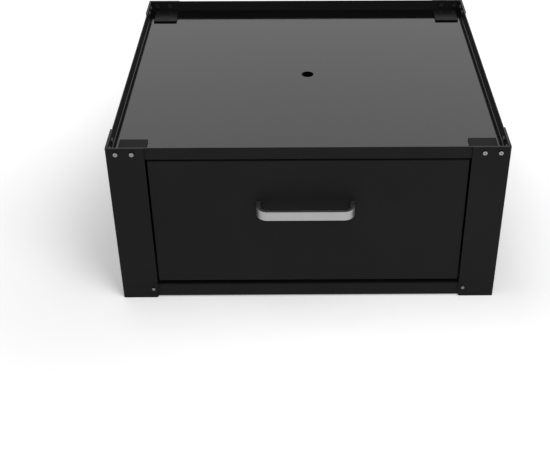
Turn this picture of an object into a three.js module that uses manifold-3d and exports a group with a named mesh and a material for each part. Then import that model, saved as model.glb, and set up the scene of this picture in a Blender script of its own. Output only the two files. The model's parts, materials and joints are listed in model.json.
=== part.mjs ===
// A steel pedestal for a washing machine, with one drawer on ball slides.
// Millimetres. X points to the right, Y to the back and Z up; the drawer opens towards -Y.
// The origin lies under the middle of the whole object, on the floor.

import * as THREE from 'three';
import { mergeVertices } from 'three/addons/utils/BufferGeometryUtils.js';
import Module from 'manifold-3d';

const wasm = await Module();
wasm.setup();

// ---------------------------------------------------------------- driving sizes

const width = 630;                 // over the outer faces of the legs
const frameDepth = 560;            // over the outer faces of the legs
const height = 300;                // floor to the top of the legs
const fit = 0.3;                   // gap between pieces that lie on each other
const past = 1;                    // how far a cutting shape runs past the metal
const roundSides = 20;             // flat faces round a screw head
const holeSides = 12;              // and round a small hole or a shank
const wideHoleSides = 40;          // and round the hole in the top panel

const legSheet = 2;
const legFrontFlange = 60;         // seen from the front or the back
const legSideFlange = 60;          // seen from the side
const legBend = 0.5;                // inside radius of the fold
const legFootRadius = 5;           // rounded lower corners

const rimSheet = 1.2;              // the four top rails, flush with the leg tops
const rimBend = 0.8;
const rimLedge = 25;               // inward ledge that carries the top panel
const rimEndGap = 1.5;             // end of a rail to the inside of the leg

const recess = 20;                 // leg tops down to the top panel
const panelSheet = 1;
const panelBend = 0.4;
const panelGap = 0.3;              // edge of the top panel to the rails
const panelLip = 2;                // small upturned lip along both sides
const panelHole = 21.3;            // round hole near the middle
const panelHoleShift = 1.1;        // and how far it lies to the right of it

const padWidth = 45;
const padDepth = 48.5;
const padThick = 3;
const padInset = 14;               // outer face of the leg to the pad
const padFrontGap = 4;             // inside of the front rail to the front pads
const padRearGap = 8.3;            // and of the rear rail to the rear pads
const padCorner = 1.5;

const lowRailSheet = 1.5;
const lowRailBend = 0.8;
const lowRailRise = 2.5;           // floor to the lower edge
const lowRailHeight = 24;
const lowRailFlange = 18;
const lowRailLap = 22;             // overlap behind the leg flange
const reliefRise = 3.5;            // relief slot in a front leg, above the rail
const reliefHeight = 1.2;
const reliefLength = 12;

const skinSheet = 1;               // side and back panels
const skinBend = 0.6;
const skinReturn = 12;

const rimScrewInset = 16;          // outer face of the leg to the first screw
const rimScrewPitch = 25;          // first screw to the second
const rimScrewDrop = 10;           // leg top to the screws
const rimScrewHead = 8;
const rimScrewHeadHeight = 2.5;
const rimScrewShank = 5;
const nutWidth = 9;                // blind nut pressed into a rail behind each screw
const nutRise = 2.5;               // inside of the rail to the nut's closed end
const nutEnd = 1;                  // wall of that end
const lowScrewInset = 7.5;         // inner edge of the leg flange to the screw
const lowScrewRise = 19;
const lowScrewHead = 6;
const lowScrewHeadHeight = 1.8;
const lowScrewShank = 4;
const lowScrewTip = 1.2;           // thread that stands out behind the lower rail

const drawerSideGap = 2.5;         // drawer front to the legs
const drawerTopGap = 2.6;          // drawer front to the front rail
const drawerBottomGap = 8.3;       // drawer front to the lower rail
const frontSheet = 1.2;
const frontBend = 0.8;
const frontThick = 18;             // depth of the folded drawer front
const frontLip = 12;               // lip around its open back
const linerSheet = 1;
const linerInset = 8;              // edge of the drawer front to the liner

const boxInset = 85;               // outer face of the leg to the side of the drawer box
const boxDepth = 470;
const boxFloor = 50;               // height of the box underside
const boxTop = 240;
const boxSheet = 1.2;
const boxBend = 0.6;
const boxHem = 8;
const boxFlange = 14;

const slideThick = 12.7;
const slideHeight = 45;
const slideLength = 450;
const slideSheet = 1.2;
const slideOuterDepth = 9;         // mounting face to the lips of the outer member
const slideWebStart = 5.6;         // mounting face to the web of the middle member
const slideRise = 110;             // height of the slide axis
const slideStart = 8;              // front end of the box sides to the slide
const slideMiddleLength = 420;
const slideMiddleStart = 10;       // end of the outer member to the middle member
const cageLength = 160;
const outerCageStart = 120;
const innerCageStart = 130;
const cageSheet = 0.5;
const ballGap = 0.35;              // ball to its race
const ballPitch = 30;
const outerRace = 3.3;             // outer flange to middle flange
const innerRace = 3.6;             // middle flange to inner flange

const bracketSheet = 1.5;
const bracketBend = 1;
const bracketHeight = 70;
const bracketLip = 12;
const bracketOverhang = 4;         // bracket beyond each end of the slide

const handleSpan = 157;            // over both posts
const handleReach = 32;            // drawer front to the face of the bar
const handleHeight = 16.5;
const handleThick = 6;
const handleBend = 18;             // outer radius of the corners
const handleRise = 190.5;          // floor to the middle of the bar
const handleShift = -4.4;          // the bar sits a little left of the middle
const handleEdge = 0.8;
const handleScrewShank = 3.4;
const handleScrewHead = 7;
const handleScrewHeadHeight = 2.2;
const handleScrewGrip = 11;        // thread inside the post

// ---------------------------------------------------------------- places worked out from them

const halfWidth = width / 2;
const rimPlane = legSheet + fit;                       // outer face of the legs to the rails
const handleOut = handleReach - rimPlane;              // handle in front of the legs
const wholeDepth = handleOut + frameDepth + rimScrewHeadHeight;
const yFront = handleOut - wholeDepth / 2;             // outer face of the front legs
const yBack = yFront + frameDepth;
const yMiddle = (yFront + yBack) / 2;

const rimX = halfWidth - rimPlane;                     // outer face of the side rails
const panelTop = height - recess;
const ledgeTop = panelTop - panelSheet - fit;
const rimBottom = ledgeTop - rimSheet;
const lowRailTop = lowRailRise + lowRailHeight;
const rimScrewZ = height - rimScrewDrop;

const drawerFace = yFront + rimPlane;
const drawerHalf = halfWidth - legFrontFlange - drawerSideGap;
const drawerTop = rimBottom - drawerTopGap;
const drawerBottom = lowRailTop + drawerBottomGap;
const linerFace = drawerFace + frontThick + fit;
const boxFront = linerFace + linerSheet + fit;
const boxBack = boxFront + boxDepth;
const boxHalf = halfWidth - boxInset;

const slideFront = boxFront + slideStart;
const slideBack = slideFront + slideLength;
const slideFaceX = boxHalf + fit + slideThick;         // mounting face of the outer member
const bracketX = slideFaceX + fit;                     // inner face of the bracket
const skinX = rimX - skinSheet;                        // inner face of a side panel

// ---------------------------------------------------------------- materials

function finish(color, roughness, metalness) {
  return new THREE.MeshStandardMaterial({ color, roughness, metalness });
}

const paint = finish(0x252526, 0.55, 0);
const glossPaint = finish(0x2c2c2d, 0.2, 0);
const boxPaint = finish(0x303031, 0.5, 0);
const rubber = finish(0x323232, 0.85, 0);
const zinc = finish(0xa8a8a6, 0.35, 1);
const satinSteel = finish(0xb4b4b2, 0.38, 1);
const slideSteel = finish(0x9a9c9e, 0.4, 1);
const cageSteel = finish(0xb0a070, 0.45, 1);

// ---------------------------------------------------------------- making solids

// Only positions, with shared corners merged, so that the shell is closed.
function clean(geometry) {
  const bare = geometry.clone();
  bare.deleteAttribute('normal');
  bare.deleteAttribute('uv');
  return mergeVertices(bare, 1e-5);
}

function toSolid(geometry) {
  const bare = geometry.index ? geometry : clean(geometry);
  return new wasm.Manifold(new wasm.Mesh({
    numProp: 3,
    vertProperties: new Float32Array(bare.attributes.position.array),
    triVerts: new Uint32Array(bare.index.array),
  }));
}

function toGeometry(solid) {
  const mesh = solid.getMesh();
  const geometry = new THREE.BufferGeometry();
  geometry.setAttribute('position', new THREE.BufferAttribute(new Float32Array(mesh.vertProperties), 3));
  geometry.setIndex(new THREE.BufferAttribute(new Uint32Array(mesh.triVerts), 1));
  return geometry;
}

function combine(how, first, others) {
  let result = toSolid(first);
  for (const other of others) result = result[how](toSolid(other));
  return toGeometry(result);
}

const cut = (first, ...tools) => combine('subtract', first, tools);
const join = (first, ...others) => combine('add', first, others);
const common = (first, ...others) => combine('intersect', first, others);

// A copy on the other side of the middle plane, with its faces turned the right way out.
function mirrored(geometry, axis) {
  const copy = clean(geometry);
  copy.scale(axis === 'x' ? -1 : 1, axis === 'y' ? -1 : 1, 1);
  if (axis === 'y') copy.translate(0, 2 * yMiddle, 0);
  const index = copy.index.array;
  for (let i = 0; i < index.length; i += 3) {
    const kept = index[i + 1];
    index[i + 1] = index[i + 2];
    index[i + 2] = kept;
  }
  return copy;
}

function block(x0, x1, y0, y1, z0, z1) {
  const box = new THREE.BoxGeometry(x1 - x0, y1 - y0, z1 - z0);
  box.translate((x0 + x1) / 2, (y0 + y1) / 2, (z0 + z1) / 2);
  return clean(box);
}

// An outline pushed along an axis. Along X it is drawn in (y, z), along Y in (x, z), along Z in (x, y).
function pushed(outline, axis, from, to) {
  const shape = outline instanceof THREE.Shape ? outline : new THREE.Shape(outline);
  const geometry = new THREE.ExtrudeGeometry(shape, {
    depth: to - from, bevelEnabled: false, curveSegments: 6,
  });
  const x = new THREE.Vector3(1, 0, 0);
  const y = new THREE.Vector3(0, 1, 0);
  const z = new THREE.Vector3(0, 0, 1);
  const turn = new THREE.Matrix4();
  if (axis === 'x') turn.makeBasis(y, z, x).setPosition(from, 0, 0);
  if (axis === 'y') turn.makeBasis(x, z, y.clone().negate()).setPosition(0, to, 0);
  if (axis === 'z') turn.makeBasis(x, y, z).setPosition(0, 0, from);
  return clean(geometry.applyMatrix4(turn));
}

// A round bar between two places on one axis.
function rod(diameter, axis, from, to, at, sides = roundSides) {
  const radius = diameter / 2;
  const circle = new THREE.Shape().absarc(at[0], at[1], radius, 0, 2 * Math.PI);
  const points = circle.getPoints(sides / 2);
  points.pop();
  return pushed(points, axis, from, to);
}

// The outline of a folded sheet. The path is one face of the sheet, and the metal lies on its left.
function folded(path, sheet, bend, steps = 4) {
  const points = path.map(([u, v]) => new THREE.Vector2(u, v));
  const last = points.length - 1;
  const leftOf = (d) => new THREE.Vector2(-d.y, d.x);
  const direction = (i) => points[i + 1].clone().sub(points[i]).normalize();
  const face = [points[0].clone()];
  const back = [points[0].clone().addScaledVector(leftOf(direction(0)), sheet)];
  for (let i = 1; i < last; i += 1) {
    const before = direction(i - 1);
    const after = direction(i);
    const side = Math.sign(before.cross(after));
    const angle = Math.acos(before.dot(after));
    const faceRadius = side > 0 ? bend + sheet : bend;
    const backRadius = side > 0 ? bend : bend + sheet;
    const start = points[i].clone().addScaledVector(before, -faceRadius * Math.tan(angle / 2));
    const centre = start.clone().addScaledVector(leftOf(before), side * faceRadius);
    const arm = leftOf(before).multiplyScalar(-side);
    for (let step = 0; step <= steps; step += 1) {
      const turned = arm.clone().rotateAround(new THREE.Vector2(), side * angle * step / steps);
      face.push(centre.clone().addScaledVector(turned, faceRadius));
      back.push(centre.clone().addScaledVector(turned, backRadius));
    }
  }
  face.push(points[last].clone());
  back.push(points[last].clone().addScaledVector(leftOf(direction(last - 1)), sheet));
  return new THREE.Shape([...face, ...back.reverse()]);
}

const model = new THREE.Group();

function add(name, geometry, material) {
  const shown = geometry.toNonIndexed();
  shown.computeVertexNormals();
  const mesh = new THREE.Mesh(shown, material);
  mesh.name = name;
  model.add(mesh);
}

// Adds a piece made for the left, and its mirror image for the right.
function addPair(name, leftGeometry, material) {
  add(`${name}_left`, leftGeometry, material);
  add(`${name}_right`, mirrored(leftGeometry, 'x'), material);
}

// ---------------------------------------------------------------- screws

// A flat-headed screw along an axis. The head stands out on the `out` side of the plane `seat`.
function screw(axis, out, seat, at, size) {
  const outside = seat + out * (fit / 2 + size.headHeight);
  const under = seat + out * fit / 2;
  const tip = seat - out * size.length;
  const head = rod(size.head, axis, Math.min(outside, under), Math.max(outside, under), at);
  const shank = rod(size.shank, axis, Math.min(outside, tip) + (out < 0 ? size.headHeight / 2 : 0),
    Math.max(outside, tip) - (out > 0 ? size.headHeight / 2 : 0), at, holeSides);
  return join(head, shank);
}

const rimScrewSize = {
  head: rimScrewHead, headHeight: rimScrewHeadHeight - fit / 2, shank: rimScrewShank,
  length: rimPlane + rimSheet + nutRise - nutEnd - fit,
};
const lowScrewSize = {
  head: lowScrewHead, headHeight: lowScrewHeadHeight, shank: lowScrewShank,
  length: rimPlane + lowRailSheet + lowScrewTip,
};
const rimScrewPlaces = [rimScrewInset, rimScrewInset + rimScrewPitch];
const lowScrewX = halfWidth - legFrontFlange + lowScrewInset;

// Clearance holes through everything that lies between two planes.
function holes(shank, axis, from, to, places) {
  return places.map((at) => rod(shank + 2 * fit, axis, from - past, to + past, at, holeSides));
}

// A top rail with its screw holes, each closed by a blind nut on the inside of the wall at `face`.
function withNuts(rail, axis, face, places) {
  const inside = face + rimSheet;
  const nuts = places.map((at) => rod(nutWidth, axis, face + rimSheet / 2, inside + nutRise, at));
  const bores = places.map((at) => rod(rimScrewShank + 2 * fit, axis, face - past,
    inside + nutRise - nutEnd, at, holeSides));
  return cut(join(rail, ...nuts), ...bores);
}

// ---------------------------------------------------------------- legs

// Cuts a square corner round. The corner is at (u, v); the metal lies to its right when way is 1.
function cornerCutter(u, v, way, radius) {
  const shape = new THREE.Shape();
  shape.moveTo(u + way * radius, v);
  shape.absarc(u + way * radius, v + radius, radius, -Math.PI / 2, way > 0 ? -Math.PI : 0, way > 0);
  shape.lineTo(u - way * past, v + radius);
  shape.lineTo(u - way * past, v - past);
  shape.lineTo(u + way * radius, v - past);
  return shape;
}

// The front left leg; the others are its mirror images.
function leg(isFront) {
  const x0 = -halfWidth;
  const innerX = x0 + legFrontFlange;
  const innerY = yFront + legSideFlange;
  const angle = folded([[x0, innerY], [x0, yFront], [innerX, yFront]], legSheet, legBend);
  const frontHoles = rimScrewPlaces.map((inset) => [x0 + inset, rimScrewZ]);
  const sideHoles = rimScrewPlaces.map((inset) => [yFront + inset, rimScrewZ]);
  const tools = [
    ...holes(rimScrewShank, 'y', yFront, yFront + legSheet, frontHoles),
    ...holes(rimScrewShank, 'x', x0, x0 + legSheet, sideHoles),
    pushed(cornerCutter(innerX, 0, -1, legFootRadius), 'y', yFront - past, yFront + legSheet + past),
    pushed(cornerCutter(innerY, 0, -1, legFootRadius), 'x', x0 - past, x0 + legSheet + past),
  ];
  if (isFront) {
    const slotZ = lowRailTop + reliefRise;
    const slot = [
      [innerX - reliefLength, slotZ], [innerX + past, slotZ - reliefHeight / 2],
      [innerX + past, slotZ + reliefHeight / 2],
    ].map(([u, v]) => new THREE.Vector2(u, v));
    tools.push(pushed(slot, 'y', yFront - past, yFront + legSheet + past));
    tools.push(...holes(lowScrewShank, 'y', yFront, yFront + legSheet, [[-lowScrewX, lowScrewRise]]));
  }
  return cut(pushed(angle, 'z', 0, height), ...tools);
}

addPair('leg_front', leg(true), paint);
addPair('leg_rear', mirrored(leg(false), 'y'), paint);

// ---------------------------------------------------------------- top rails

// The front rail: an upright wall with a ledge behind it, which stops where the side ledges run.
function frontRim() {
  const y0 = yFront + rimPlane;
  const half = halfWidth - legSheet - rimEndGap;
  const angle = folded([[y0, height], [y0, rimBottom], [y0 + rimLedge, rimBottom]], rimSheet, rimBend);
  const ledgeHalf = rimX - rimLedge - fit;
  const behindWall = [y0 + rimSheet, y0 + rimLedge + past, rimBottom - past, height + past];
  const places = rimScrewPlaces.flatMap((inset) => [
    [-halfWidth + inset, rimScrewZ], [halfWidth - inset, rimScrewZ],
  ]);
  const rail = cut(
    pushed(angle, 'x', -half, half),
    block(-half - past, -ledgeHalf, ...behindWall),
    block(ledgeHalf, half + past, ...behindWall),
  );
  return withNuts(rail, 'y', y0, places);
}

// A side rail runs between the walls of the front and rear rails.
function sideRim() {
  const y0 = yFront + rimPlane + rimSheet + fit;
  const y1 = 2 * yMiddle - y0;
  const angle = folded([[-rimX, height], [-rimX, rimBottom], [-rimX + rimLedge, rimBottom]],
    rimSheet, rimBend);
  const places = rimScrewPlaces.flatMap((inset) => [
    [yFront + inset, rimScrewZ], [yBack - inset, rimScrewZ],
  ]);
  return withNuts(pushed(angle, 'y', y0, y1), 'x', -rimX, places);
}

add('top_rail_front', frontRim(), paint);
add('top_rail_rear', mirrored(frontRim(), 'y'), paint);
addPair('top_rail', sideRim(), paint);

// ---------------------------------------------------------------- top panel and pads

function topPanel() {
  const half = rimX - rimSheet - panelGap;
  const y0 = yFront + rimPlane + rimSheet + panelGap;
  const y1 = 2 * yMiddle - y0;
  const underside = panelTop - panelSheet;
  const pan = folded([
    [-half, panelTop + panelLip], [-half, underside], [half, underside], [half, panelTop + panelLip],
  ], panelSheet, panelBend);
  return cut(pushed(pan, 'y', y0, y1),
    rod(panelHole, 'z', underside - past, panelTop + past, [panelHoleShift, yMiddle], wideHoleSides));
}

function roundedPlate(x0, x1, y0, y1, radius) {
  const shape = new THREE.Shape();
  shape.absarc(x1 - radius, y1 - radius, radius, 0, Math.PI / 2);
  shape.absarc(x0 + radius, y1 - radius, radius, Math.PI / 2, Math.PI);
  shape.absarc(x0 + radius, y0 + radius, radius, Math.PI, 1.5 * Math.PI);
  shape.absarc(x1 - radius, y0 + radius, radius, 1.5 * Math.PI, 2 * Math.PI);
  return shape;
}

function cornerPad(gap) {
  const x0 = -halfWidth + padInset;
  const y0 = yFront + rimPlane + rimSheet + gap;
  const plate = roundedPlate(x0, x0 + padWidth, y0, y0 + padDepth, padCorner);
  return pushed(plate, 'z', panelTop + fit, panelTop + padThick);
}

add('top_panel', topPanel(), glossPaint);
addPair('corner_pad_front', cornerPad(padFrontGap), rubber);
addPair('corner_pad_rear', mirrored(cornerPad(padRearGap), 'y'), rubber);

// ---------------------------------------------------------------- lower rails

function frontLowRail(isFront) {
  const y0 = yFront + rimPlane;
  const half = halfWidth - legFrontFlange + lowRailLap;
  const angle = folded([[y0 + lowRailFlange, lowRailTop], [y0, lowRailTop], [y0, lowRailRise]],
    lowRailSheet, lowRailBend);
  const rail = pushed(angle, 'x', -half, half);
  if (!isFront) return rail;
  const places = [[-lowScrewX, lowScrewRise], [lowScrewX, lowScrewRise]];
  return cut(rail, ...holes(lowScrewShank, 'y', y0, y0 + lowRailSheet, places));
}

function sideLowRail() {
  const y0 = yFront + legSideFlange - lowRailLap;
  const angle = folded([
    [-rimX + lowRailFlange, lowRailTop], [-rimX, lowRailTop], [-rimX, lowRailRise],
  ], lowRailSheet, lowRailBend);
  return pushed(angle, 'y', y0, 2 * yMiddle - y0);
}

add('bottom_rail_front', frontLowRail(true), paint);
add('bottom_rail_rear', mirrored(frontLowRail(false), 'y'), paint);
addPair('bottom_rail', sideLowRail(), paint);

// ---------------------------------------------------------------- side and back panels

const skinBottom = lowRailTop + fit;
const skinTop = rimBottom - fit;

// A side panel stands between the rails, behind the side flanges of the legs.
function sideSkin() {
  const path = [
    [-rimX + skinReturn, skinTop], [-rimX, skinTop], [-rimX, skinBottom], [-rimX + skinReturn, skinBottom],
  ];
  const y0 = yFront + rimPlane + skinSheet + fit;
  return pushed(folded(path, skinSheet, skinBend), 'y', y0, 2 * yMiddle - y0);
}

// The back panel stands between the returns of the side panels.
function backSkin() {
  const y1 = yBack - rimPlane;
  const path = [
    [y1 - skinReturn, skinBottom], [y1, skinBottom], [y1, skinTop], [y1 - skinReturn, skinTop],
  ];
  const half = rimX - skinReturn - fit;
  return pushed(folded(path, skinSheet, skinBend), 'x', -half, half);
}

addPair('side_panel', sideSkin(), paint);
add('back_panel', backSkin(), paint);

// ---------------------------------------------------------------- screws of the frame

// Two screws in each flange of each leg, near its top.
function addRimScrews() {
  for (const [end, face, out] of [['front', yFront, -1], ['rear', yBack, 1]]) {
    rimScrewPlaces.forEach((inset, i) => {
      const order = i + 1;
      const across = screw('y', out, face, [-halfWidth + inset, rimScrewZ], rimScrewSize);
      add(`screw_${end}_left_${order}`, across, zinc);
      add(`screw_${end}_right_${order}`, mirrored(across, 'x'), zinc);
      const along = screw('x', -1, -halfWidth, [face - out * inset, rimScrewZ], rimScrewSize);
      add(`screw_side_${end}_left_${order}`, along, zinc);
      add(`screw_side_${end}_right_${order}`, mirrored(along, 'x'), zinc);
    });
  }
}

addRimScrews();
addPair('screw_bottom', screw('y', -1, yFront, [-lowScrewX, lowScrewRise], lowScrewSize), zinc);

// ---------------------------------------------------------------- slides

// Distances in a slide are measured from its mounting face, towards the drawer, and up or
// down from its axis. Each member is a strip bent around the next one.
const slideHalf = slideHeight / 2;
const outerInside = slideHalf - slideSheet;
const middleHalf = outerInside - outerRace;
const middleInside = middleHalf - slideSheet;
const innerHalf = middleInside - innerRace;
const middleNear = slideSheet + cageSheet + 3 * fit;                // middle flanges start here
const middleFar = slideThick - slideSheet - fit;                    // and end here
const innerNear = slideWebStart + slideSheet + cageSheet + 3 * fit; // inner flanges start here

const slideX = (distance) => -slideFaceX + distance;

// A channel that opens away from (+1) or towards (-1) the mounting face.
function channel(web, tip, half, sheet) {
  const tipX = slideX(tip);
  const webX = slideX(web);
  if (tip > web) {
    return folded([
      [tipX, slideRise + half], [webX, slideRise + half], [webX, slideRise - half],
      [tipX, slideRise - half],
    ], sheet, fit);
  }
  return folded([
    [tipX, slideRise - half], [webX, slideRise - half], [webX, slideRise + half],
    [tipX, slideRise + half],
  ], sheet, fit);
}

function slideMiddle() {
  const y0 = slideFront + slideMiddleStart;
  const y1 = y0 + slideMiddleLength;
  const near = slideX(middleNear);
  const far = slideX(middleFar);
  return join(
    block(slideX(slideWebStart), slideX(slideWebStart + slideSheet), y0, y1,
      slideRise - middleHalf, slideRise + middleHalf),
    block(near, far, y0, y1, slideRise + middleInside, slideRise + middleHalf),
    block(near, far, y0, y1, slideRise - middleHalf, slideRise - middleInside),
  );
}

// A cage is a thin channel, with balls held in its flanges.
function cage(web, tip, race, raceMiddle, start) {
  const y0 = slideFront + start;
  const half = raceMiddle + cageSheet / 2;
  const strip = pushed(channel(web, tip, half, cageSheet), 'y', y0, y0 + cageLength);
  const radius = race / 2 - ballGap;
  const ballX = slideX((web + tip) / 2 + cageSheet);
  const count = Math.floor((cageLength - ballPitch) / ballPitch) + 1;
  const first = (cageLength - (count - 1) * ballPitch) / 2;
  const balls = [];
  for (let i = 0; i < count; i += 1) {
    for (const side of [-1, 1]) {
      const ball = new THREE.SphereGeometry(radius, 8, 4);
      ball.translate(ballX, y0 + first + i * ballPitch, slideRise + side * raceMiddle);
      balls.push(clean(ball));
    }
  }
  return join(strip, ...balls);
}

const outerChannel = channel(0, slideOuterDepth, slideHalf, slideSheet);
const innerChannel = channel(slideThick, innerNear, innerHalf, slideSheet);
addPair('slide_outer', pushed(outerChannel, 'y', slideFront, slideBack), slideSteel);
addPair('slide_middle', slideMiddle(), slideSteel);
addPair('slide_inner', pushed(innerChannel, 'y', slideFront, slideBack), slideSteel);
addPair('ball_cage_outer',
  cage(slideSheet + fit, slideOuterDepth - fit, outerRace, middleHalf + outerRace / 2, outerCageStart),
  cageSteel);
addPair('ball_cage_inner',
  cage(slideWebStart + slideSheet + fit, middleFar - 2 * fit, innerRace, innerHalf + innerRace / 2,
    innerCageStart),
  cageSteel);

// The bracket bridges the space between a side panel and the slide.
function slideBracket() {
  const lipX = -skinX + fit;
  const webX = -bracketX - bracketSheet;
  const top = slideRise + bracketHeight / 2;
  const bottom = slideRise - bracketHeight / 2;
  const hat = folded([
    [lipX, top + bracketLip], [lipX, top], [webX, top], [webX, bottom], [lipX, bottom],
    [lipX, bottom - bracketLip],
  ], bracketSheet, bracketBend);
  return pushed(hat, 'y', slideFront - bracketOverhang, slideBack + bracketOverhang);
}

addPair('slide_bracket', slideBracket(), boxPaint);

// ---------------------------------------------------------------- drawer

const handleScrewX = handleSpan / 2 - handleThick / 2;
const handleScrewPlaces = [handleShift - handleScrewX, handleShift + handleScrewX]
  .map((x) => [x, handleRise]);

// A box whose four front edges are rounded.
function cushion(half, face, back, bottom, top, radius) {
  const plan = new THREE.Shape();
  plan.absarc(half - radius, face + radius, radius, -Math.PI / 2, 0);
  plan.lineTo(half, back);
  plan.lineTo(-half, back);
  plan.absarc(-half + radius, face + radius, radius, Math.PI, 1.5 * Math.PI);
  const side = new THREE.Shape();
  side.absarc(face + radius, top - radius, radius, Math.PI / 2, Math.PI);
  side.absarc(face + radius, bottom + radius, radius, Math.PI, 1.5 * Math.PI);
  side.lineTo(back, bottom);
  side.lineTo(back, top);
  return common(pushed(plan, 'z', bottom, top), pushed(side, 'x', -half, half));
}

// The drawer front is one sheet, folded back on all four sides, with a lip around its open back.
function drawerFront() {
  const back = drawerFace + frontThick;
  const outer = cushion(drawerHalf, drawerFace, back, drawerBottom, drawerTop, frontBend + frontSheet);
  const inner = cushion(drawerHalf - frontSheet, drawerFace + frontSheet, back - frontSheet,
    drawerBottom + frontSheet, drawerTop - frontSheet, frontBend);
  const opening = block(-drawerHalf + frontLip, drawerHalf - frontLip, back - frontSheet - past, back + past,
    drawerBottom + frontLip, drawerTop - frontLip);
  return cut(outer, inner, opening,
    ...holes(handleScrewShank, 'y', drawerFace, drawerFace + frontSheet, handleScrewPlaces));
}

function drawerLiner() {
  return block(-drawerHalf + linerInset, drawerHalf - linerInset, linerFace, linerFace + linerSheet,
    drawerBottom + linerInset, drawerTop - linerInset);
}

function drawerSide() {
  const path = [
    [-boxHalf + boxHem, boxTop], [-boxHalf, boxTop], [-boxHalf, boxFloor],
    [-boxHalf + boxFlange, boxFloor],
  ];
  return pushed(folded(path, boxSheet, boxBend), 'y', boxFront, boxBack);
}

const boxInside = boxHalf - boxSheet - fit;
const trayUnderside = boxFloor + boxSheet + fit;
const trayTop = trayUnderside + boxSheet;

add('drawer_front', drawerFront(), paint);
add('drawer_liner', drawerLiner(), boxPaint);
addPair('drawer_side', drawerSide(), boxPaint);
add('drawer_bottom',
  block(-boxInside + boxBend, boxInside - boxBend, boxFront, boxBack, trayUnderside, trayTop), boxPaint);
add('drawer_back', block(-boxInside, boxInside, boxBack - boxSheet, boxBack, trayTop + fit,
  boxTop - boxSheet - boxBend - fit), boxPaint);

// ---------------------------------------------------------------- handle

// A flat strap bent twice, drawn from above and pushed up to its height, with its edges eased.
function handle() {
  const face = drawerFace - handleReach;
  const foot = drawerFace - fit;
  const half = handleSpan / 2;
  const inner = handleBend - handleThick;
  const shape = new THREE.Shape();
  shape.moveTo(-half, foot);
  shape.lineTo(-half, face + handleBend);
  shape.absarc(-half + handleBend, face + handleBend, handleBend, Math.PI, 1.5 * Math.PI);
  shape.absarc(half - handleBend, face + handleBend, handleBend, 1.5 * Math.PI, 2 * Math.PI);
  shape.lineTo(half, foot);
  shape.lineTo(half - handleThick, foot);
  shape.absarc(half - handleBend, face + handleBend, inner, 0, -Math.PI / 2, true);
  shape.absarc(-half + handleBend, face + handleBend, inner, 1.5 * Math.PI, Math.PI, true);
  shape.lineTo(-half + handleThick, foot);
  const strap = new THREE.ExtrudeGeometry(shape, {
    depth: handleHeight - 2 * handleEdge, curveSegments: 8, bevelEnabled: true, bevelSegments: 1,
    bevelThickness: handleEdge, bevelSize: handleEdge, bevelOffset: -handleEdge,
  });
  strap.translate(handleShift, 0, handleRise - handleHeight / 2 + handleEdge);
  const sockets = holes(handleScrewShank, 'y', foot - handleScrewGrip, foot, handleScrewPlaces);
  return cut(clean(strap), ...sockets);
}

const handleScrewSize = {
  head: handleScrewHead, headHeight: handleScrewHeadHeight, shank: handleScrewShank,
  length: frontSheet + fit + handleScrewGrip,
};

add('handle', handle(), satinSteel);
handleScrewPlaces.forEach((at, i) => {
  const fixing = screw('y', 1, drawerFace + frontSheet, at, handleScrewSize);
  add(`handle_screw_${i === 0 ? 'left' : 'right'}`, fixing, zinc);
});

export default model;
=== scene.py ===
# Looks of the washing machine pedestal: camera, light, coats and metals, eased edges,
# handle, screws, rivets and the balls of the slides. Metres, in the frame of the CAD model.

import json
import math

import bmesh
import bpy
from mathutils import Matrix, Vector


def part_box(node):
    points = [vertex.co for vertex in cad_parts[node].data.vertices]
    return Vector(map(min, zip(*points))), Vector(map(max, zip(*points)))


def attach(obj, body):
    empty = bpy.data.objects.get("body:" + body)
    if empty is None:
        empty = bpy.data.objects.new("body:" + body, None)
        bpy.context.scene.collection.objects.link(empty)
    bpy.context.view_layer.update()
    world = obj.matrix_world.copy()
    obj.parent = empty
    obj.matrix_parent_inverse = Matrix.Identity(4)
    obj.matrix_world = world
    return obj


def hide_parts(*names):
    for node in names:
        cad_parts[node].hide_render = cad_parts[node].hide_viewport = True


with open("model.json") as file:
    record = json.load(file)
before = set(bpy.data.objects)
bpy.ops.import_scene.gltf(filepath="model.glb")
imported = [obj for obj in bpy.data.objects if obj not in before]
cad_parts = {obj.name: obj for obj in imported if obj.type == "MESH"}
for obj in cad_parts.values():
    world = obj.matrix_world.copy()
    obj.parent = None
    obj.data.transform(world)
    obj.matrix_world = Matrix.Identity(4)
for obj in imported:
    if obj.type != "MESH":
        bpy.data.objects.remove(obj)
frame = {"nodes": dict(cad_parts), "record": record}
nodes = frame["nodes"]
bodies = frame["record"]["behaviour"]["bodies"]
bodyOf = {name: body for body, names in bodies.items() for name in names}
scene = bpy.context.scene
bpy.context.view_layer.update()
print("pedestal: CAD model loaded,", len(nodes), "nodes")

# the camera, solved from the photo

photoCamera = {
    "place": (-0.01206, -1.55507, 1.11191),
    "turn": -0.384,      # degrees to the left of straight ahead
    "tilt": 56.684,      # degrees up from straight down
    "roll": -0.073,
    "lens": 64.562,
    "sensor": 36.0,
    "shiftX": -0.05675,
    "shiftY": -0.12257,
}


def makeCamera(view):
    data = bpy.data.cameras.new("photo camera")
    data.lens, data.sensor_width = view["lens"], view["sensor"]
    data.shift_x, data.shift_y = view["shiftX"], view["shiftY"]
    camera = bpy.data.objects.new("photo camera", data)
    scene.collection.objects.link(camera)
    turn, roll = (Matrix.Rotation(math.radians(view[key]), 4, "Z") for key in ("turn", "roll"))
    tilt = Matrix.Rotation(math.radians(view["tilt"]), 4, "X")
    camera.matrix_world = Matrix.Translation(view["place"]) @ turn @ tilt @ roll
    scene.camera = camera


makeCamera(photoCamera)

# nodes, colours and materials


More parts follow.
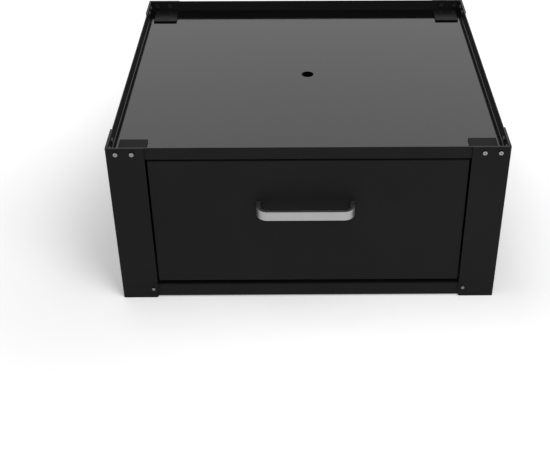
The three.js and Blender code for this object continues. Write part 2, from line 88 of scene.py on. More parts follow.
def addNode(tree, kind, inputs=None, **settings):      # each input is a value, a node or a socket
    node = tree.nodes.new(kind)
    for key, value in settings.items():
        setattr(node, key, value)
    for key, value in (inputs or {}).items():
        if isinstance(value, bpy.types.Node):
            value = value.outputs[0]
        if isinstance(value, bpy.types.NodeSocket):
            tree.links.new(value, node.inputs[key])
        else:
            node.inputs[key].default_value = value
    return node


def linear(colour):      # "#rrggbb" as seen on a screen, to the numbers that a shader takes
    channels = [int(colour[i:i + 2], 16) / 255 for i in (1, 3, 5)]
    return [c / 12.92 if c <= 0.04045 else ((c + 0.055) / 1.055) ** 2.4 for c in channels] + [1.0]


def newMaterial(name):
    material = bpy.data.materials.new(name)
    material.use_nodes = True
    tree = material.node_tree
    tree.nodes.clear()
    shader = addNode(tree, "ShaderNodeBsdfPrincipled")
    addNode(tree, "ShaderNodeOutputMaterial", {"Surface": shader.outputs[0]})
    return material, tree, shader


# where the values of a noise mostly lie, and its octaves in slow and in fine patterns
noise = {"low": 0.3, "high": 0.7, "slowDetail": 2.0, "fineDetail": 3.0}


# Tone, sheen and relief of a surface, each led by its own pattern between the limits of its look.
def finishSurface(tree, shader, look, toneBy, sheenBy, reliefBy):
    first, second = (linear(tone) for tone in look["tones"])
    low, high = look["roughness"]
    tone = addNode(tree, "ShaderNodeMix", {0: toneBy, 6: first, 7: second}, data_type="RGBA")
    sheen = addNode(tree, "ShaderNodeMapRange", {
        "Value": sheenBy, "From Min": noise["low"], "From Max": noise["high"],
        "To Min": low, "To Max": high})
    relief = addNode(tree, "ShaderNodeBump", {"Height": reliefBy, "Distance": look["depth"]})
    tree.links.new(tone.outputs[2], shader.inputs["Base Color"])
    tree.links.new(sheen.outputs[0], shader.inputs["Roughness"])
    tree.links.new(relief.outputs[0], shader.inputs["Normal"])


# A coat of paint: a grain or an orange peel in relief, and slow changes of sheen and tone.
def makeCoat(name, look):
    material, tree, shader = newMaterial(name)
    spot = addNode(tree, "ShaderNodeTexCoord").outputs["Object"]
    slow = addNode(tree, "ShaderNodeTexNoise", {
        "Vector": spot, "Scale": 1 / look["slow"], "Detail": noise["slowDetail"]})
    grain = addNode(tree, "ShaderNodeTexNoise", {
        "Vector": spot, "Scale": 1 / look["grain"], "Detail": noise["fineDetail"]})
    finishSurface(tree, shader, look, slow, slow, grain)
    shader.inputs["Specular IOR Level"].default_value = look["shine"]
    return material


# A metal: lines or clouds in relief and sheen, along the piece where it is drawn or brushed.
def makeMetal(name, look):
    material, tree, shader = newMaterial(name)
    source = addNode(tree, "ShaderNodeTexCoord").outputs[look["follows"]]
    drawn = addNode(tree, "ShaderNodeMapping", {"Vector": source, "Scale": look["stretch"]})
    lines = addNode(tree, "ShaderNodeTexNoise", {
        "Vector": drawn, "Scale": 1 / look["grain"], "Detail": noise["fineDetail"]})
    slow = addNode(tree, "ShaderNodeTexNoise", {
        "Vector": source, "Scale": 1 / look["slow"], "Detail": noise["slowDetail"]})
    tone = addNode(tree, "ShaderNodeMath", {
        0: lines, 1: slow, 2: look["toneShift"]}, operation="MULTIPLY_ADD")
    finishSurface(tree, shader, look, tone, lines, lines)
    shader.inputs["Metallic"].default_value = 1.0
    return material


# matt black epoxy powder, baked: an even black with a fine dry grain that breaks up close highlights
powderLook = {
    "tones": ("#131314", "#161617"), "shine": 0.17, "roughness": (0.68, 0.76),
    "grain": 0.0008, "depth": 0.000012, "slow": 0.12,
}
# the same powder on the cut upper edges, where it flows thin and smooth: a rim that catches the sky
edgeLook = {
    "tones": ("#131314", "#161617"), "shine": 0.75, "roughness": (0.3, 0.38),
    "grain": 0.0008, "depth": 0.000006, "slow": 0.12,
}
# and on the thicker edges of the legs, where more of it stays: the rim is duller
legEdgeLook = dict(edgeLook, shine=0.15)
# smooth wet enamel, baked: dark grey, glossy enough to mirror the rim, with a faint orange peel
enamelLook = {
    "tones": ("#0b0b0c", "#0d0d0d"), "shine": 0.76, "roughness": (0.07, 0.1),
    "grain": 0.009, "depth": 0.000006, "slow": 0.15,
}
# thin electrophoretic primer on the drawer box: flat dark grey, a little uneven
dipLook = {
    "tones": ("#1d1d1e", "#242425"), "shine": 0.3, "roughness": (0.38, 0.5),
    "grain": 0.0016, "depth": 0.000008, "slow": 0.06,
}
# moulded nitrile rubber: deep black with a soft sheen and a fine moulded grain
rubberLook = {
    "tones": ("#0f0f10", "#131314"), "shine": 0.065, "roughness": (0.26, 0.34),
    "grain": 0.0012, "depth": 0.00001, "slow": 0.03,
}
# satin stainless strap, brushed along its length: fine lines that run round the bends
strapLook = {
    "follows": "UV", "stretch": (0.02, 1.0, 1.0), "grain": 0.0004, "slow": 0.03,
    "depth": 0.000004, "tones": ("#9b9b9b", "#b0b0af"), "toneShift": 0.2, "roughness": (0.4, 0.48),
}
# zinc plated and clear passivated steel: pale cool grey, faintly cloudy
zincLook = {
    "follows": "Object", "stretch": (1.0, 1.0, 1.0), "grain": 0.0006, "slow": 0.004,
    "depth": 0.000003, "tones": ("#7d7e7e", "#929393"), "toneShift": 0.25, "roughness": (0.1, 0.16),
}
# phosphated and oiled steel: a dull dark grey, for the nuts in the rails
nutLook = {
    "follows": "Object", "stretch": (1.0, 1.0, 1.0), "grain": 0.0006, "slow": 0.004,
    "depth": 0.000003, "tones": ("#525353", "#666767"), "toneShift": 0.25, "roughness": (0.3, 0.38),
}
# cold rolled and galvanised strip: long drawn lines along the slide
stripLook = {
    "follows": "Object", "stretch": (1.0, 0.02, 1.0), "grain": 0.0005, "slow": 0.02,
    "depth": 0.000005, "tones": ("#8d9092", "#aeb1b3"), "toneShift": 0.2, "roughness": (0.28, 0.42),
}
# yellow passivated steel: a thin iridescent film between straw and olive
passivateLook = {
    "follows": "Object", "stretch": (1.0, 1.0, 1.0), "grain": 0.002, "slow": 0.006,
    "depth": 0.000003, "tones": ("#a89a5c", "#b5a888"), "toneShift": 0.2, "roughness": (0.25, 0.36),
}
# hardened and ground steel: nearly a mirror
ballLook = {
    "follows": "Object", "stretch": (1.0, 1.0, 1.0), "grain": 0.001, "slow": 0.004,
    "depth": 0.000001, "tones": ("#c2c4c6", "#d0d2d3"), "toneShift": 0.2, "roughness": (0.08, 0.14),
}

powder = makeCoat("black epoxy powder coat", powderLook)
thinPowder = makeCoat("black epoxy powder coat, thin over cut edges", edgeLook)
legPowder = makeCoat("black epoxy powder coat, over thick cut edges", legEdgeLook)
enamel = makeCoat("dark grey gloss enamel", enamelLook)
dip = makeCoat("dark dip primer", dipLook)
rubber = makeCoat("moulded black rubber", rubberLook)
strapSteel = makeMetal("brushed stainless strap", strapLook)
zinc = makeMetal("clear zinc plate", zincLook)
phosphate = makeMetal("phosphated steel", nutLook)
strip = makeMetal("galvanised cold rolled strip", stripLook)
passivate = makeMetal("yellow passivated strip", passivateLook)
ballSteel = makeMetal("ground ball steel", ballLook)
print("pedestal: materials made")

# finished pieces


def place(name, mesh, body, slot, *replaced):
    piece = bpy.data.objects.new(name, mesh)
    scene.collection.objects.link(piece)
    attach(piece, body)
    if replaced:
        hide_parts(*replaced)
    return piece


def settled(draft):      # the draft's mesh with its modifiers worked in, and the draft gone
    graph = bpy.context.evaluated_depsgraph_get()
    mesh = bpy.data.meshes.new_from_object(
        draft.evaluated_get(graph), preserve_all_data_layers=True, depsgraph=graph)
    draft.modifiers.clear()
    bpy.data.objects.remove(draft)
    return mesh


def draftOf(name, mesh):
    draft = bpy.data.objects.new(name, mesh)
    scene.collection.objects.link(draft)
    return draft


easing = {
    "merge": 0.000002,      # metres between corners that become one
    "flat": 0.3,            # degrees between faces that become one
    "sharp": 38.0,          # degrees at an edge that is eased
    "areaWeight": 100,      # how far large faces lead the shading
}


# Smooth shading over the rounded edges only, so that flat faces stay flat.
def evenShading(draft, keepSharp):
    for face in draft.data.polygons:
        face.use_smooth = True
    even = draft.modifiers.new("flat faces stay flat", "WEIGHTED_NORMAL")
    even.mode, even.weight, even.keep_sharp = "FACE_AREA", easing["areaWeight"], keepSharp


def easeEdges(draft, width, segments):
    bevel = draft.modifiers.new("eased edges", "BEVEL")
    bevel.width, bevel.segments = width, segments
    bevel.limit_method, bevel.angle_limit = "ANGLE", math.radians(easing["sharp"])
    bevel.harden_normals = True
    bevel.miter_outer = "MITER_ARC"
    evenShading(draft, True)


# A copy of a CAD node with merged corners, whole flat faces and eased edges.
def easedCopy(name, width, segments):
    mesh = nodes[name].data.copy()
    shell = bmesh.new()
    shell.from_mesh(mesh)
    bmesh.ops.remove_doubles(shell, verts=shell.verts, dist=easing["merge"])
    bmesh.ops.dissolve_limit(
        shell, angle_limit=math.radians(easing["flat"]), verts=shell.verts, edges=shell.edges)
    shell.to_mesh(mesh)
    shell.free()
    draft = draftOf(name + "_draft", mesh)
    easeEdges(draft, width, segments)
    return settled(draft)


# Sheet and rubber pieces, each with the width of its eased edge in metres. The first name that fits counts.
sheetPieces = {
    "leg_": {
        "edge": 0.0002, "segments": 2, "material": powder, "rim": legPowder, "slot": "frame_paint"},
    "top_rail_": {
        "edge": 0.0002, "segments": 2, "material": powder, "rim": thinPowder, "slot": "frame_paint"},
    "bottom_rail_": {"edge": 0.0003, "segments": 2, "material": powder, "slot": "frame_paint"},
    "side_panel_": {"edge": 0.0002, "segments": 2, "material": powder, "slot": "frame_paint"},
    "back_panel": {"edge": 0.0002, "segments": 2, "material": powder, "slot": "frame_paint"},
    "drawer_front": {"edge": 0.0003, "segments": 2, "material": powder, "slot": "frame_paint"},
    "top_panel": {"edge": 0.0001, "segments": 2, "material": enamel, "slot": "gloss_paint"},
    "corner_pad_": {"edge": 0.0007, "segments": 3, "material": rubber, "slot": "rubber_pads"},
    "drawer_": {"edge": 0.0002, "segments": 2, "material": dip, "slot": "inner_paint"},
    "slide_bracket_": {"edge": 0.0003, "segments": 2, "material": dip, "slot": "inner_paint"},
    "slide_": {"edge": 0.00015, "segments": 2, "material": strip, "slot": "slide_steel"},
}

# a cut edge at the top of a piece: how level it lies and how far below the highest point
rimEdges = {"level": 0.7, "below": 0.0005}


# Gives the cut edges that face straight up a material of their own.
def dressRim(mesh, material, look):
    top = max(vertex.co.z for vertex in mesh.vertices)
    mesh.materials.append(material)
    for face in mesh.polygons:
        if face.normal.z > look["level"] and top - face.center.z < look["below"]:
            face.material_index = len(mesh.materials) - 1


# the blind nuts: where they start behind a rail's outside, and how far they reach round a screw
blindNuts = {"from": 0.0013, "reach": 0.0048}


# Gives the blind nuts in a top rail a metal of their own. They stand round the inner ends of the screws.
def dressNuts(mesh, rail, look):
    where = rail.split("_")[-1]
    axis, kind = (0, "screw_side_") if where in ("left", "right") else (1, "screw_" + where)
    screwNames = [name for name in nodes if name.startswith(kind) and where in name]
    seats = [(low + high) / 2 for low, high in map(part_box, screwNames)]
    low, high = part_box(rail)
    outside, inward = (low[axis], 1) if where in ("left", "front") else (high[axis], -1)
    mesh.materials.append(phosphate)
    for face in mesh.polygons:
        if (face.center[axis] - outside) * inward < look["from"]:
            continue
        for seat in seats:
            away = face.center - seat
            away[axis] = 0.0
            if away.length < look["reach"]:
                face.material_index = len(mesh.materials) - 1


def dressSheets():
    for name in sorted(nodes):
        kind = next((key for key in sheetPieces if name.startswith(key)), None)
        if kind is None:
            continue
        look = sheetPieces[kind]
        mesh = easedCopy(name, look["edge"], look["segments"])
        mesh.materials.clear()
        mesh.materials.append(look["material"])
        if "rim" in look:
            dressRim(mesh, look["rim"], rimEdges)
        if name.startswith("top_rail"):
            dressNuts(mesh, name, blindNuts)
        place(name + "_finished", mesh, bodyOf[name], look["slot"], name)


dressSheets()
print("pedestal: sheet and rubber pieces finished")

# the handle, a flat strap swept round its two bends

strap = {
    "thick": 0.006,
    "outerBend": 0.018,    # outer radius of the corners
    "edge": 0.001,         # radius along the edges of the strap
    "bendSteps": 16,
    "edgeSteps": 4,
}


def strapSection(thick, high, look):
    radius, steps = look["edge"], look["edgeSteps"]
    points = []
    for u, v, start in ((1, 1, 0), (-1, 1, 90), (-1, -1, 180), (1, -1, 270)):
        for step in range(steps + 1):
            angle = math.radians(start + 90 * step / steps)
            points.append((u * (thick / 2 - radius) + radius * math.cos(angle),
                           v * (high / 2 - radius) + radius * math.sin(angle)))
    return points


def strapPath(low, high, thick, look):
    radius, steps = look["outerBend"] - thick / 2, look["bendSteps"]
    left, right = low.x + thick / 2, high.x - thick / 2
    face = low.y + thick / 2
    path = [(Vector((left, high.y, 0)), Vector((-1, 0, 0)))]
    for centre, start in ((left + radius, 180), (right - radius, 270)):
        for step in range(steps + 1):
            angle = math.radians(start + 90 * step / steps)
            out = Vector((math.cos(angle), math.sin(angle), 0))
            path.append((Vector((centre, face + radius, 0)) + radius * out, out))
    path.append((Vector((right, high.y, 0)), Vector((1, 0, 0))))
    return path


def makeHandle(look):
    low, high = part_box("handle")
    thick = look["thick"]
    foot = high.copy()
    foot.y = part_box("drawer_front")[0].y      # the strap stands right on the drawer front
    section = strapSection(thick, high.z - low.z, look)
    path = strapPath(low, foot, thick, look)
    shell = bmesh.new()
    along = shell.loops.layers.uv.new("strap")
    middle = (low.z + high.z) / 2
    rings, lengths, run = [], [], 0.0
    for i, (point, out) in enumerate(path):
        run += (point - path[i - 1][0]).length if i else 0.0
        lengths.append(run)
        rings.append([shell.verts.new(point + out * u + Vector((0, 0, middle + v))) for u, v in section])
    around = [0.0]
    for i in range(len(section)):
        a, b = section[i], section[(i + 1) % len(section)]
        around.append(around[-1] + math.dist(a, b))
    for i in range(len(rings) - 1):
        for k in range(len(section)):
            n = (k + 1) % len(section)
            face = shell.faces.new((rings[i][k], rings[i + 1][k], rings[i + 1][n], rings[i][n]))
            for loop, uv in zip(face.loops, ((i, k), (i + 1, k), (i + 1, k + 1), (i, k + 1))):
                loop[along].uv = (lengths[uv[0]], around[uv[1]])
    shell.faces.new(list(reversed(rings[0])))
    shell.faces.new(rings[-1])
    bmesh.ops.recalc_face_normals(shell, faces=shell.faces)
    mesh = bpy.data.meshes.new("handle_strap")
    shell.to_mesh(mesh)
    shell.free()
    draft = draftOf("handle_draft", mesh)
    evenShading(draft, False)
    mesh = settled(draft)
    mesh.materials.append(strapSteel)
    place("handle_strap", mesh, "drawer", "satin_handle", "handle")


makeHandle(strap)
print("pedestal: handle made")

# what repeats: screws, rivets and balls, each a tree of geometry nodes


def newTree(name, sizes):
    tree = bpy.data.node_groups.new(name, "GeometryNodeTree")
    tree.interface.new_socket("Geometry", in_out="INPUT", socket_type="NodeSocketGeometry")
    for label, kind in sizes.items():
        tree.interface.new_socket(label, in_out="INPUT", socket_type="NodeSocket" + kind)
    tree.interface.new_socket("Geometry", in_out="OUTPUT", socket_type="NodeSocketGeometry")
    return tree, tree.nodes.new("NodeGroupInput").outputs


def raised(tree, shape, height):      # the shape moved up by a height that a node gives
    offset = addNode(tree, "ShaderNodeCombineXYZ", {"Z": height})
    return addNode(tree, "GeometryNodeTransform", {"Geometry": shape, "Translation": offset})


# One shape on every point, turned to the point's outward way, then made real and given its metal.
def onPoints(tree, given, shape):
    outward = addNode(tree, "GeometryNodeInputNamedAttribute", {"Name": "outward"}, data_type="FLOAT_VECTOR")
    facing = addNode(tree, "FunctionNodeAlignRotationToVector", {"Vector": outward}, axis="Z")
    turn = addNode(tree, "FunctionNodeRandomValue", {2: 0.0, 3: math.tau, "Seed": given["Seed"]})
    roll = addNode(tree, "FunctionNodeAxisAngleToRotation", {"Axis": (0, 0, 1), "Angle": turn.outputs[1]})
    rotation = addNode(tree, "FunctionNodeRotateRotation", {
        "Rotation": facing, "Rotate By": roll}, rotation_space="LOCAL")
    spots = addNode(tree, "GeometryNodeInstanceOnPoints", {
        "Points": given["Geometry"], "Instance": shape, "Rotation": rotation})
    real = addNode(tree, "GeometryNodeRealizeInstances", {"Geometry": spots})
    smooth = addNode(tree, "GeometryNodeSetShadeSmooth", {"Geometry": real})
    metal = addNode(tree, "GeometryNodeSetMaterial", {"Geometry": smooth, "Material": given["Metal"]})
    addNode(tree, "NodeGroupOutput", {0: metal})


# Runs a tree on points and gives back the finished mesh. Its inputs are set before the first look at it.
def grown(tree, spots, values):
    mesh = bpy.data.meshes.new("spots")
    mesh.from_pydata([spot for spot, way in spots], [], [])
    ways = mesh.attributes.new("outward", "FLOAT_VECTOR", "POINT")
    ways.data.foreach_set("vector", [c for spot, way in spots for c in way])
    draft = draftOf("spots", mesh)
    modifier = draft.modifiers.new("repeats", "NODES")
    modifier.node_group = tree
    for socket in tree.interface.items_tree:
        if socket.in_out == "INPUT" and socket.name in values:
            modifier[socket.identifier] = values[socket.name]
    return settled(draft)


def joined(name, meshes):      # several meshes as one, each with its own material
    shell = bmesh.new()
    result = bpy.data.meshes.new(name)
    for slot, mesh in enumerate(meshes):
        start = len(shell.faces)
        shell.from_mesh(mesh)
        shell.faces.ensure_lookup_table()
        for face in shell.faces[start:]:
            face.material_index = slot
        result.materials.append(mesh.materials[mesh.polygons[0].material_index])
    shell.to_mesh(result)
    shell.free()
    return result


screws = {
    "edge": 0.0003,         # radius round the face of the head
    "recessWidth": 0.42,    # share of the head
    "recessArm": 0.27,      # thickness of an arm of the cross, as a share of its width
    "recessDepth": 0.0009,
    "roundSteps": 3,        # in the quarter round of the edge
    "sharp": 14.0,          # degrees from which an edge is shaded sharp
    "headSides": 32,
    "shankSides": 20,
    "seed": 7,
    # height of the head, its width as a share of the CAD screw's, and width of the shank
    "rim": {"head": 0.00235, "share": 0.9, "shank": 0.005},
    "low": {"head": 0.0018, "share": 0.92, "shank": 0.004},
    "grip": {"head": 0.0022, "share": 1.0, "shank": 0.0034},
}


# A flat head with a rounded edge and a cross recess, on a plain shank.
def screwTree(look):
    tree, given = newTree("screws on points", {
        "Head width": "Float", "Head height": "Float", "Edge": "Float", "Recess width": "Float",
        "Recess depth": "Float", "Shank width": "Float", "Shank length": "Float", "Seed": "Int",
        "Metal": "Material"})
    radius = addNode(tree, "ShaderNodeMath", {0: given["Head width"], 1: 0.5}, operation="MULTIPLY")
    straight = addNode(tree, "ShaderNodeMath", {
        0: given["Head height"], 1: given["Edge"]}, operation="SUBTRACT")
    half = addNode(tree, "ShaderNodeMath", {0: straight, 1: 0.5}, operation="MULTIPLY")
    head = addNode(tree, "GeometryNodeMeshCylinder", {
        "Vertices": look["headSides"], "Radius": radius, "Depth": straight})
    shape, top = raised(tree, head, half), head.outputs["Top"]
    rise, before = 0.0, radius
    for part in range(1, look["roundSteps"] + 1):
        angle = math.radians(90 * part / look["roundSteps"])
        nextRise, inset = math.sin(angle), 1 - math.cos(angle)
        climb = addNode(tree, "ShaderNodeMath", {
            0: given["Edge"], 1: nextRise - rise}, operation="MULTIPLY")
        step = addNode(tree, "GeometryNodeExtrudeMesh", {
            "Mesh": shape, "Selection": top, "Individual": False, "Offset Scale": climb}, mode="FACES")
        after = addNode(tree, "ShaderNodeMath", {
            0: given["Edge"], 1: -inset, 2: radius}, operation="MULTIPLY_ADD")
        share = addNode(tree, "ShaderNodeMath", {0: after, 1: before}, operation="DIVIDE")
        shape = addNode(tree, "GeometryNodeScaleElements", {
            "Geometry": step, "Selection": step.outputs["Top"], "Scale": share}, domain="FACE")
        top, rise, before = step.outputs["Top"], nextRise, after
    # the cutters stand half above the face, so they are twice as deep as the recess
    deep = addNode(tree, "ShaderNodeMath", {0: given["Recess depth"], 1: 2.0}, operation="MULTIPLY")
    narrow = addNode(tree, "ShaderNodeMath", {
        0: given["Recess width"], 1: look["recessArm"]}, operation="MULTIPLY")
    recess = addNode(tree, "GeometryNodeMeshBoolean", {"Mesh 1": shape}, operation="DIFFERENCE")
    for u, v in ((given["Recess width"], narrow), (narrow, given["Recess width"])):
        size = addNode(tree, "ShaderNodeCombineXYZ", {"X": u, "Y": v, "Z": deep})
        cutter = raised(tree, addNode(tree, "GeometryNodeMeshCube", {"Size": size}), given["Head height"])
        tree.links.new(cutter.outputs[0], recess.inputs["Mesh 2"])
    thin = addNode(tree, "ShaderNodeMath", {0: given["Shank width"], 1: 0.5}, operation="MULTIPLY")
    below = addNode(tree, "ShaderNodeMath", {0: given["Shank length"], 1: -0.5}, operation="MULTIPLY")
    shank = addNode(tree, "GeometryNodeMeshCylinder", {
        "Vertices": look["shankSides"], "Radius": thin, "Depth": given["Shank length"]})
    whole = addNode(tree, "GeometryNodeJoinGeometry")
    for piece in (raised(tree, shank, below), recess):
        tree.links.new(piece.outputs[0], whole.inputs[0])
    onPoints(tree, given, whole)
    return tree


def outwardOf(name):
    if name.startswith("screw_side"):
        return Vector((-1 if "left" in name else 1, 0, 0))
    return Vector((0, 1 if "rear" in name or name.startswith("handle") else -1, 0))


# A CAD screw's seat and way, the width of its head and the length below the head.
def screwFacts(name, headHeight):
    low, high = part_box(name)
    way = outwardOf(name)
    axis = 0 if way.x else 1
    size = high - low
    end = high[axis] if way[axis] > 0 else low[axis]
    seat = (low + high) / 2
    seat[axis] = end - way[axis] * headHeight
    return seat, way, size[2], size[axis] - headHeight


def makeScrews(tree, look, kind, names):
    headHeight, shankWidth = look[kind]["head"], look[kind]["shank"]
    facts = [screwFacts(name, headHeight) for name in names]
    headWidth, shankLength = facts[0][2] * look[kind]["share"], facts[0][3]
    mesh = grown(tree, [fact[:2] for fact in facts], {
        "Head width": headWidth, "Head height": headHeight, "Edge": look["edge"],
        "Recess width": headWidth * look["recessWidth"], "Recess depth": look["recessDepth"],
        "Shank width": shankWidth, "Shank length": shankLength, "Seed": look["seed"], "Metal": zinc})
    mesh.set_sharp_from_angle(angle=math.radians(look["sharp"]))
    return mesh


screwGroup = screwTree(screws)
rimNames = sorted(n for n in nodes if n.startswith("screw_") and "bottom" not in n)
lowNames = sorted(n for n in nodes if n.startswith("screw_bottom"))
gripNames = ["handle_screw_left", "handle_screw_right"]
frameScrews = [
    makeScrews(screwGroup, screws, "rim", rimNames),
    makeScrews(screwGroup, screws, "low", lowNames),
]
place("frame_screws", joined("frame_screws", frameScrews), "frame", "zinc_screws", *rimNames, *lowNames)
gripScrews = [makeScrews(screwGroup, screws, "grip", gripNames)]
place("handle_screws", joined("handle_screws", gripScrews), "drawer", "zinc_screws", *gripNames)
print("pedestal: screws made")

rivets = {
    "width": 0.0065,
    "height": 0.0011,
    "sheet": 0.0012,        # of the box side that carries them
    "inFromEnds": 0.035,    # ends of the slide's inner member to the first and last rivet
    "count": 4,
    "sides": 20,
    "rings": 12,
    "seed": 3,
}


# A low domed rivet head.
def rivetTree(look):
    tree, given = newTree("rivets on points", {
        "Head width": "Float", "Head height": "Float", "Seed": "Int", "Metal": "Material"})
    radius = addNode(tree, "ShaderNodeMath", {0: given["Head width"], 1: 0.5}, operation="MULTIPLY")
    ball = addNode(tree, "GeometryNodeMeshUVSphere", {
        "Segments": look["sides"], "Rings": look["rings"], "Radius": radius})
    flat = addNode(tree, "ShaderNodeMath", {0: given["Head height"], 1: radius}, operation="DIVIDE")
    squeeze = addNode(tree, "ShaderNodeCombineXYZ", {"X": 1.0, "Y": 1.0, "Z": flat})
    dome = addNode(tree, "GeometryNodeTransform", {"Geometry": ball, "Scale": squeeze})
    onPoints(tree, given, dome)
    return tree


def makeRivets(look):
    spots = []
    for side, sign in (("left", 1), ("right", -1)):
        low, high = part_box("slide_inner_" + side)
        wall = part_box("drawer_side_" + side)
        x = (wall[0] if sign > 0 else wall[1]).x + sign * look["sheet"]      # inner face of the box side
        start, run = low.y + look["inFromEnds"], high.y - low.y - 2 * look["inFromEnds"]
        for i in range(look["count"]):
            y = start + run * i / (look["count"] - 1)
            spots.append((Vector((x, y, (low.z + high.z) / 2)), Vector((sign, 0, 0))))
    mesh = grown(rivetTree(look), spots, {
        "Head width": look["width"], "Head height": look["height"], "Seed": look["seed"], "Metal": zinc})
    place("drawer_side_rivets", mesh, "drawer", "slide_steel")


makeRivets(rivets)
print("pedestal: rivets made")

# the ball cages of the slides: a thin channel with its balls along both sides

cages = {
    "sheet": 0.0005,
    "pitch": 0.03,          # ball to ball
    "count": 5,             # balls along each side
    "outerBall": 0.0026,
    "innerBall": 0.0029,
    "sides": 14,
    "rings": 9,
    "seed": 1,
}


def ballTree(look):
    tree, given = newTree("balls on points", {"Ball width": "Float", "Seed": "Int", "Metal": "Material"})
    radius = addNode(tree, "ShaderNodeMath", {0: given["Ball width"], 1: 0.5}, operation="MULTIPLY")
    ball = addNode(tree, "GeometryNodeMeshUVSphere", {
        "Segments": look["sides"], "Rings": look["rings"], "Radius": radius})
    onPoints(tree, given, ball)
    return tree


def makeCages(look):
    tree = ballTree(look)
    for kind, ball in (("outer", look["outerBall"]), ("inner", look["innerBall"])):
        for side in ("left", "right"):
            name = "ball_cage_%s_%s" % (kind, side)
            low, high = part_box(name)
            middle, half = (low.z + high.z) / 2, (high.z - low.z) / 2 - ball / 2
            x = (low.x + high.x) / 2 + (look["sheet"] / 2 if side == "left" else -look["sheet"] / 2)
            first = (low.y + high.y) / 2 - look["pitch"] * (look["count"] - 1) / 2
            spots = [(Vector((x, first + look["pitch"] * i, middle + way * half)), Vector((0, 0, way)))
                     for i in range(look["count"]) for way in (-1, 1)]
            balls = grown(tree, spots, {"Ball width": ball, "Seed": look["seed"], "Metal": ballSteel})
            sheet = nodes[name].data.copy()
            sheet.materials.clear()
            sheet.materials.append(passivate)
            whole = joined(name + "_finished", [sheet, balls])
            place(name + "_finished", whole, bodyOf[name], "cage_steel", name)


makeCages(cages)
print("pedestal: ball cages made")

# floor with a glow that paints a shadow round and under the pedestal, white surroundings and two soft lamps

studio = {
    "floorSize": 14.0,
    "floorColour": "#f3f3f3",
    # the glow: weak beside the legs, a painted shadow, and strong farther off, an even white backdrop
    "liftNear": 0.27,            # beside the front of the legs
    "liftFar": 0.602,            # from the reach on
    "liftReach": 0.691,          # metres away from the band below
    "liftBand": (0.03, 0.148),   # behind the front of the legs, where the distance starts
    "paintedShadeInset": 0.03,           # legs to the part of the floor inside that has no glow: painted shade under the pedestal
    "skyForShade": 0.134,        # the white surroundings as a light
    "lamps": (
        {"place": (0.452, -0.862, 1.711), "size": (0.803, 1.69), "power": 21.3},
        {"place": (-0.56, 0.111, 3.095), "size": (1.425, 1.075), "power": 20.0},
    ),
    "lampAim": (0.0, 0.0, 0.1),
}


def seenDirectly(tree):      # 1 for the camera's rays, for mirrors and for glass, else 0
    path = addNode(tree, "ShaderNodeLightPath").outputs
    either = addNode(tree, "ShaderNodeMath", {
        0: path["Is Camera Ray"], 1: path["Is Glossy Ray"]}, operation="MAXIMUM")
    return addNode(tree, "ShaderNodeMath", {
        0: either.outputs[0], 1: path["Is Transmission Ray"]}, operation="MAXIMUM").outputs[0]


# Metres over the floor from a rectangle between two corners; 0 inside it.
def awayFrom(tree, low, high):
    spot = addNode(tree, "ShaderNodeTexCoord").outputs["Object"]
    for how, other in (("SUBTRACT", (low + high) / 2), ("ABSOLUTE", None),
                       ("SUBTRACT", (high - low) / 2), ("MAXIMUM", (0, 0, 0))):
        step = {0: spot} if other is None else {0: spot, 1: other}
        spot = addNode(tree, "ShaderNodeVectorMath", step, operation=how)
    return addNode(tree, "ShaderNodeVectorMath", {0: spot}, operation="LENGTH").outputs["Value"]
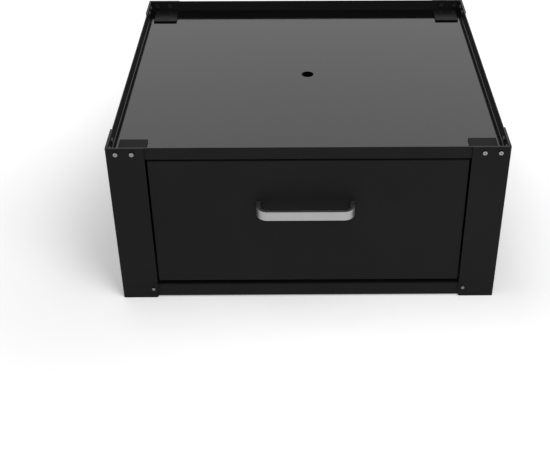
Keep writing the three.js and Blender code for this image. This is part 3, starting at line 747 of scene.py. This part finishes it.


# Painted shadow: a glow that the eye and mirrors see on top of the floor's own light, none well inside
# the legs and weak beside them, more with the distance from the front of the legs, until the floor is white.
def liftWithPaintedShadow(tree, look):
    front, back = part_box("leg_front_left")[0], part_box("leg_rear_right")[1]
    inset = Vector((look["paintedShadeInset"], look["paintedShadeInset"], 0))
    inside = awayFrom(tree, front + inset, back - inset)
    outside = addNode(tree, "ShaderNodeMath", {0: inside, 1: 0.0}, operation="GREATER_THAN")
    near, deep = (front.y + depth for depth in look["liftBand"])
    away = awayFrom(tree, Vector((front.x, near, 0)), Vector((back.x, deep, 0)))
    rise = addNode(tree, "ShaderNodeMapRange", {
        "Value": away, "From Max": look["liftReach"], "To Min": look["liftNear"],
        "To Max": look["liftFar"]}, interpolation_type="SMOOTHSTEP")
    free = addNode(tree, "ShaderNodeMath", {0: seenDirectly(tree), 1: outside}, operation="MULTIPLY")
    return addNode(tree, "ShaderNodeMath", {0: free, 1: rise}, operation="MULTIPLY")


def makeStudio(look):
    material = bpy.data.materials.new("white studio floor")
    material.use_nodes = True
    tree = material.node_tree
    tree.nodes.clear()
    own = addNode(tree, "ShaderNodeBsdfDiffuse", {"Color": linear(look["floorColour"])})
    # the glow is weaker near the pedestal and missing under it: painted shadow
    glow = addNode(tree, "ShaderNodeEmission", {"Strength": liftWithPaintedShadow(tree, look)})
    both = addNode(tree, "ShaderNodeAddShader", {0: own.outputs[0], 1: glow.outputs[0]})
    addNode(tree, "ShaderNodeOutputMaterial", {"Surface": both.outputs[0]})
    half = look["floorSize"] / 2
    mesh = bpy.data.meshes.new("studio_floor")
    corners = [(-half, -half, 0), (half, -half, 0), (half, half, 0), (-half, half, 0)]
    mesh.from_pydata(corners, [], [(0, 1, 2, 3)])
    mesh.materials.append(material)
    floor = bpy.data.objects.new("studio_floor", mesh)
    scene.collection.objects.link(floor)

    world = bpy.data.worlds.new("white studio")
    world.use_nodes = True
    tree = world.node_tree
    tree.nodes.clear()
    strength = addNode(tree, "ShaderNodeMapRange", {
        "Value": seenDirectly(tree), "To Min": look["skyForShade"], "To Max": 1.0})
    sky = addNode(tree, "ShaderNodeBackground", {"Color": (1, 1, 1, 1), "Strength": strength.outputs[0]})
    addNode(tree, "ShaderNodeOutputWorld", {"Surface": sky.outputs[0]})
    scene.world = world

    for soft in look["lamps"]:
        data = bpy.data.lights.new("soft lamp", "AREA")
        data.shape = "RECTANGLE"
        data.size, data.size_y = soft["size"]
        data.energy = soft["power"]
        lamp = bpy.data.objects.new("soft lamp", data)
        scene.collection.objects.link(lamp)
        lamp.location = soft["place"]
        lamp.visible_glossy = False      # mirrors show the white surroundings only, no edge of a lamp
        lamp.rotation_euler = (Vector(look["lampAim"]) - lamp.location).to_track_quat("-Z", "Y").to_euler()
    scene.view_settings.view_transform = "Standard"


makeStudio(studio)
print("pedestal: studio made")
